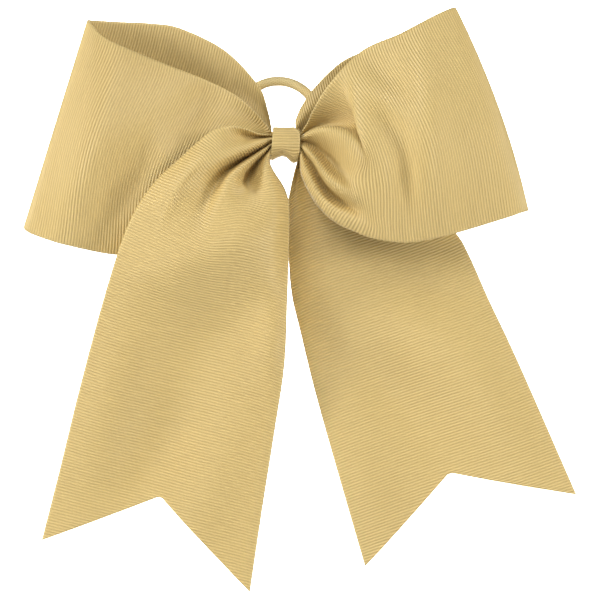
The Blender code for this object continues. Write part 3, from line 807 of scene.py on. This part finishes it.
class Nodes:
    """A material's node tree, with short ways to add to it."""

    def __init__(self, name):
        self.material = bpy.data.materials.new(name)
        self.material.use_nodes = True
        self.tree = self.material.node_tree
        self.shader = self.tree.nodes["Principled BSDF"]

    def join(self, value, socket):
        if isinstance(value, bpy.types.NodeSocket):
            self.tree.links.new(value, socket)
        else:
            socket.default_value = value

    def math(self, operation, *values):
        node = self.tree.nodes.new("ShaderNodeMath")
        node.operation = operation
        for value, socket in zip(values, node.inputs):
            self.join(value, socket)
        return node.outputs[0]

    def wave(self, value, turns):
        """0 to 1 and back, that many times for each unit of the value."""
        swing = self.math("COSINE", self.math("MULTIPLY", value, 2 * math.pi * turns))
        return self.math("MULTIPLY_ADD", swing, 0.5, 0.5)

    def attribute(self, name):
        """A mesh attribute as one vector and as its three parts."""
        node = self.tree.nodes.new("ShaderNodeAttribute")
        node.attribute_name = name
        parts = self.tree.nodes.new("ShaderNodeSeparateXYZ")
        self.tree.links.new(node.outputs["Vector"], parts.inputs[0])
        return node.outputs["Vector"], parts.outputs

    def place(self):
        return self.tree.nodes.new("ShaderNodeNewGeometry").outputs["Position"]

    def noise(self, vector, scale, detail=2.0):
        node = self.tree.nodes.new("ShaderNodeTexNoise")
        self.join(vector, node.inputs["Vector"])
        self.join(scale, node.inputs["Scale"])
        self.join(detail, node.inputs["Detail"])
        return node.outputs["Fac"]

    def stretched(self, vector, factors):
        node = self.tree.nodes.new("ShaderNodeVectorMath")
        node.operation = "MULTIPLY"
        self.join(vector, node.inputs[0])
        self.join(factors, node.inputs[1])
        return node.outputs[0]

    def mix(self, factor, a, b):
        node = self.tree.nodes.new("ShaderNodeMix")
        node.data_type = "RGBA"
        self.join(factor, node.inputs["Factor"])
        for value, socket in ((a, node.inputs[6]), (b, node.inputs[7])):
            self.join((*value, 1) if isinstance(value, tuple) else value, socket)
        return node.outputs[2]

    def tint(self, colour, towards, where, most):
        """The colour, turned towards another by up to that share where the pattern is 1."""
        return self.mix(self.math("MULTIPLY", where, most), colour, towards)

    def bump(self, height, distance, strength=1.0):
        node = self.tree.nodes.new("ShaderNodeBump")
        self.join(height, node.inputs["Height"])
        self.join(distance, node.inputs["Distance"])
        self.join(strength, node.inputs["Strength"])
        self.tree.links.new(node.outputs[0], self.shader.inputs["Normal"])

    def finish(self, colour, **settings):
        self.join(colour, self.shader.inputs["Base Color"])
        for label, value in settings.items():
            self.join(value, self.shader.inputs[label.replace("_", " ")])
        return self.material


def grosgrain(name, rib_pitch):
    """Gold grosgrain: round ribs across the ribbon, fine threads along it, and a tight woven edge."""
    nodes = Nodes(name)
    flat, (s, _, from_edge) = nodes.attribute("flat")
    rib = nodes.wave(s, 1 / rib_pitch)
    threads = nodes.noise(nodes.stretched(flat, (0.35, 2.4, 0)), scale=1.0)
    slubs = nodes.noise(nodes.stretched(flat, (1.0, 0.03, 0)), scale=0.9, detail=1.0)
    dye = nodes.noise(nodes.place(), scale=24.0, detail=3.0)
    # painted shade: the colour turns to the deep gold in each groove between the ribs, for the shade that
    # falls there, and is the full gold on the crests
    colour = nodes.mix(nodes.math("MULTIPLY_ADD", rib, 0.9, 0.1), GOLD_GROOVE_SHADE_AND_SLUB, GOLD)
    colour = nodes.tint(colour, GOLD_PALE, where=threads, most=0.25)
    colour = nodes.tint(colour, GOLD_GROOVE_SHADE_AND_SLUB, where=slubs, most=0.06)
    colour = nodes.tint(colour, GOLD_PALE, where=dye, most=0.18)
    on_edge = nodes.math("LESS_THAN", from_edge, SELVEDGE * 0.5)
    colour = nodes.tint(colour, GOLD_PALE, where=on_edge, most=0.15)
    nodes.bump(threads, distance=0.00004, strength=0.25)
    rough = nodes.math("MULTIPLY_ADD", threads, 0.14, 0.42)
    return nodes.finish(
        colour,
        Roughness=rough,
        Specular_IOR_Level=0.5,
        Sheen_Weight=0.28,
        Sheen_Roughness=0.35,
        Sheen_Tint=(1.0, 0.92, 0.70, 1),
    )


def braided(name):
    """Gold strands that cross, with painted shade in the grooves between them."""
    nodes = Nodes(name)
    flat, (s, turn, _) = nodes.attribute("flat")
    fibres = nodes.noise(nodes.stretched(flat, (6.0, 3.0, 0)), scale=1.0, detail=3.0)
    climb = nodes.math("DIVIDE", s, BRAID_PITCH)
    one_way = nodes.wave(nodes.math("ADD", turn, climb), 1.0)
    other_way = nodes.wave(nodes.math("SUBTRACT", turn, climb), 1.0)
    strand_or_groove_shade = nodes.math("MULTIPLY_ADD", nodes.math("MAXIMUM", one_way, other_way), 0.5, 0.5)
    # painted shade: the grooves between the strands are mixed halfway to the deep gold, for the shade that
    # falls in them
    colour = nodes.mix(strand_or_groove_shade, GOLD_GROOVE_SHADE_AND_SLUB, nodes.mix(fibres, GOLD_PALE, THREAD_PALE))
    nodes.bump(fibres, distance=0.00008, strength=0.6)
    return nodes.finish(colour, Roughness=0.6, Sheen_Weight=0.3, Sheen_Roughness=0.4)


def plain_finish(name, dark, light, grain, bump_depth, **settings):
    """A finish whose colour wanders between two tones, with a fine surface of that grain."""
    nodes = Nodes(name)
    fine = nodes.noise(nodes.place(), scale=grain, detail=4.0)
    nodes.bump(fine, distance=bump_depth, strength=0.7)
    return nodes.finish(nodes.mix(fine, dark, light), **settings)


RIBBON = grosgrain("gold_grosgrain_weave", RIB_PITCH)
WRAP_RIBBON = grosgrain("wrap_grosgrain_weave", 1.0)  # its flat attribute counts the ribs
FINISHES = {
    "wrap_glue": plain_finish(
        "clear_hot_glue", (0.72, 0.66, 0.52), (0.80, 0.75, 0.62), 400, 0.00006,
        Roughness=0.25, Subsurface_Weight=0.3,
    ),
    "elastic_core": plain_finish(
        "rubber_strands", (0.55, 0.47, 0.34), (0.66, 0.58, 0.44), 1500, 0.00004, Roughness=0.75
    ),
    "elastic_ferrule": plain_finish(
        "crimped_steel", (0.45, 0.42, 0.38), (0.66, 0.64, 0.60), 900, 0.00003, Roughness=0.35, Metallic=1.0
    ),
}  # fmt: skip


# ---- build ----


def from_knot(x, y, z):
    return tuple(np.array([x, y, z]) * MM + KNOT)


def build_loop(name, front, back, between, bow):
    """A loop's mesh, and the grid that its tail has to clear."""
    points, along = loop_grid(front, back, between, bow)
    tuck = np.array([[inward] for inward, _ in TUCKED_ROWS])
    along = np.vstack([along[0] - tuck, along, along[-1] + tuck[::-1]])
    start = tucked(points, front)
    both = tucked(start[::-1], back)[::-1]
    return woven(name, both, along), points


def build_tail(name, layer, loop_points, ahead, notch):
    """A tail's mesh, which lies ahead of the loop's points or behind them."""
    points, along = tail_grid(layer, Envelope(loop_points, foremost=ahead))
    tuck = np.array([[inward] for inward, _ in TUCKED_ROWS])
    return woven(name, tucked(points, layer), np.vstack([along[0] - tuck, along]), notch)


left_loop, left_points = build_loop("left_loop_ribbon", LEFT_FRONT, LEFT_BACK, between=2.0, bow=0.0)
right_loop, right_points = build_loop("right_loop_ribbon", RIGHT_FRONT, RIGHT_BACK, between=-2.0, bow=2.5)
left_tail = build_tail("left_tail_ribbon", LEFT_TAIL, left_points, ahead=True, notch=25.0)
right_tail = build_tail("right_tail_ribbon", RIGHT_TAIL, right_points, ahead=False, notch=21.6)
wrap = make_wrap(WRAP_RIBBON)
sleeve = make_sleeve(braided("woven_sleeve_braid"))
thread = make_thread(braided("twisted_thread"))

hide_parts("left_loop_front", "left_loop_back")
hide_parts("right_loop_front", "right_loop_back", "ribbon_gather_middle")
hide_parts("left_tail", "left_tail_root", "ribbon_gather_front")
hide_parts("right_tail", "right_tail_root", "ribbon_gather_back")
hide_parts("center_wrap")
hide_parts("elastic_sleeve")
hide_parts("gather_thread")

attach(wrap, "knot")
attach(thread, "knot")
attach(sleeve, "elastic")
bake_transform(left_loop)
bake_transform(right_loop)
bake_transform(left_tail)
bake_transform(right_tail)

for name, material in FINISHES.items():
    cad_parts[name].data.materials.clear()
    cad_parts[name].data.materials.append(material)

# Stage, light and camera

CAMERA_AWAY = 1.2
VIEW_WIDTH = 0.2101
VIEW_CENTRE = (4.9, -55.0)  # X and Z, from the knot
SENSOR_WIDTH = 36


def make_stage():
    """A pale floor that curves up into a backdrop behind the bow."""
    floor_z, back_y, radius, half_width, top_z = -0.42, 1.9, 0.4, 2.2, 1.2
    bend = [
        (back_y - radius + radius * math.sin(a), floor_z + radius - radius * math.cos(a))
        for a in np.linspace(0, math.pi / 2, 16)
    ]
    profile = [(-half_width, floor_z), *bend, (back_y, top_z)]
    vertices = [(x, y, z) for x in (-half_width, half_width) for y, z in profile]
    count = len(profile)
    faces = [(i, i + 1, count + i + 1, count + i) for i in range(count - 1)]
    mesh = bpy.data.meshes.new("backdrop")
    mesh.from_pydata(vertices, [], faces)
    mesh.shade_smooth()
    paper = plain_finish("pale_paper", (0.90, 0.90, 0.90), (0.94, 0.94, 0.94), 30, 0.0001, Roughness=0.9)
    mesh.materials.append(paper)
    add_object("backdrop", mesh)


def make_light(name, place, size, watts, aim=(0, 0, -0.06)):
    data = bpy.data.lights.new(name, "AREA")
    data.shape = "DISK"
    data.size = size
    data.energy = watts
    lamp = add_object(name, data)
    lamp.location = place
    lamp.rotation_euler = (Vector(aim) - Vector(place)).to_track_quat("-Z", "Y").to_euler()


def make_camera():
    data = bpy.data.cameras.new("camera")
    data.sensor_width = SENSOR_WIDTH
    data.lens = SENSOR_WIDTH * CAMERA_AWAY / VIEW_WIDTH
    camera = add_object("camera", data)
    x, z = VIEW_CENTRE
    camera.location = Vector(from_knot(x, 0, z)) - Vector((0, CAMERA_AWAY, 0))
    camera.rotation_euler = (math.pi / 2, 0, 0)
    bpy.context.scene.camera = camera


def make_world(brightness):
    world = bpy.data.worlds.new("studio")
    world.use_nodes = True
    background = world.node_tree.nodes["Background"]
    background.inputs["Color"].default_value = (1, 1, 1, 1)
    background.inputs["Strength"].default_value = brightness
    bpy.context.scene.world = world


make_stage()
make_light("key", (-0.25, -0.9, 0.62), size=0.9, watts=7.8)
make_light("left_light", (-1.35, -0.5, 0.25), size=0.4, watts=12.5)
make_light("right_light", (1.35, -0.55, 0.2), size=0.4, watts=11.5)
make_light("back_light", (0.5, 1.0, 0.6), size=0.9, watts=1.9)
make_light("backdrop_light", (0, 1.4, 0.7), size=0.5, watts=40, aim=(0, 1.9, -0.1))
make_camera()
make_world(0.17)
bpy.context.scene.view_settings.view_transform = "Standard"
